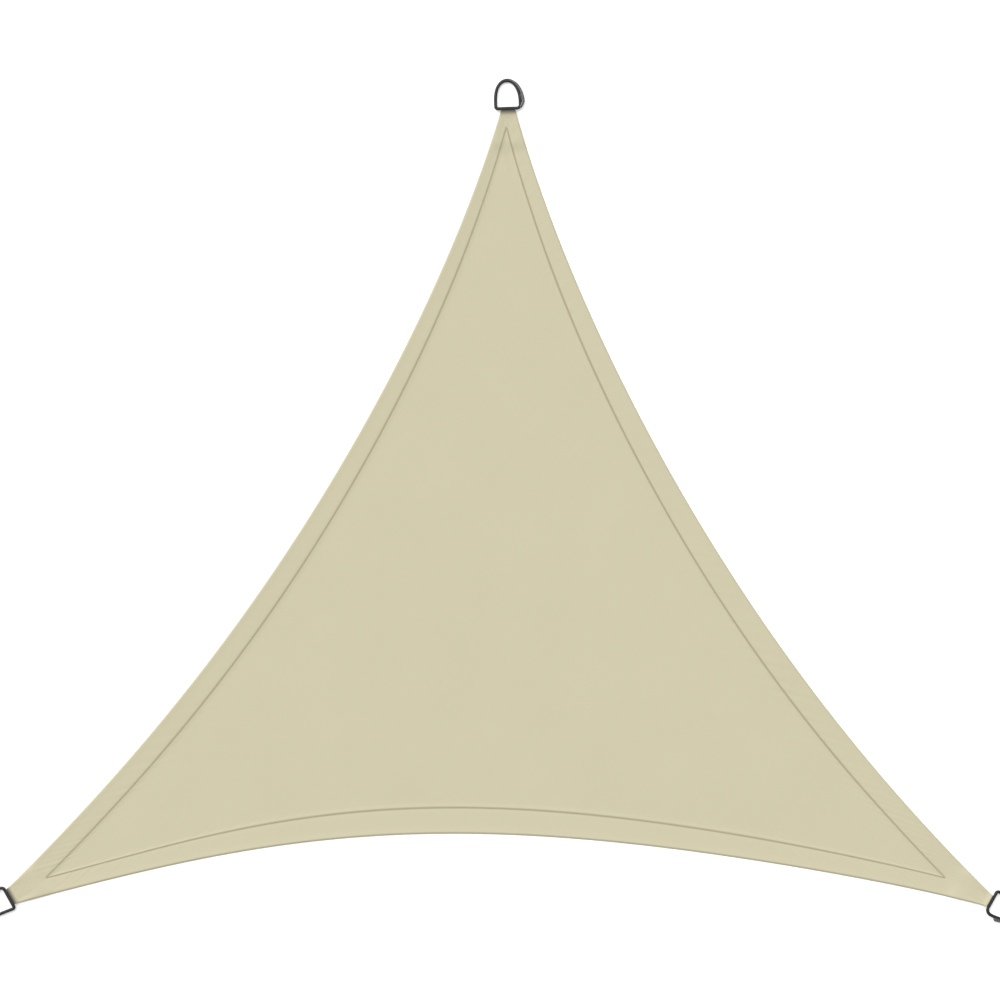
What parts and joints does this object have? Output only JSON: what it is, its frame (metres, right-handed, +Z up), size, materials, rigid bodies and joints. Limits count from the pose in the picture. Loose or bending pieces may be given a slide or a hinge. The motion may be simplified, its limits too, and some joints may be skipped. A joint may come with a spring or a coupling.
{
  "type": "shade sail",
  "caption": "Triangular shade sail laid flat: a cloth panel with hollowed, hemmed edges, and a steel D-ring held by webbing at each corner to hang it by.",
  "frame": {"origin": "middle of the bounding box, on the ground that the sail lies on", "axes": "+Z up out of the face of the laid-out sail, +Y towards its point, +X along its longest edge, to the right as seen from above"},
  "size_m": [2.1187, 1.7247, 0.0106],
  "materials": {
    "cloth": "matt beige plain-woven polyester",
    "steel": "dark drawn wire, satin",
    "webbing": "matt near-black webbing"
  },
  "bodies": {
    "root": {"sail_cloth": "cloth", "ring_top": "steel", "ring_left": "steel", "ring_right": "steel", "webbing_top": "webbing", "webbing_left": "webbing", "webbing_right": "webbing"}
  },
  "joints": []
}
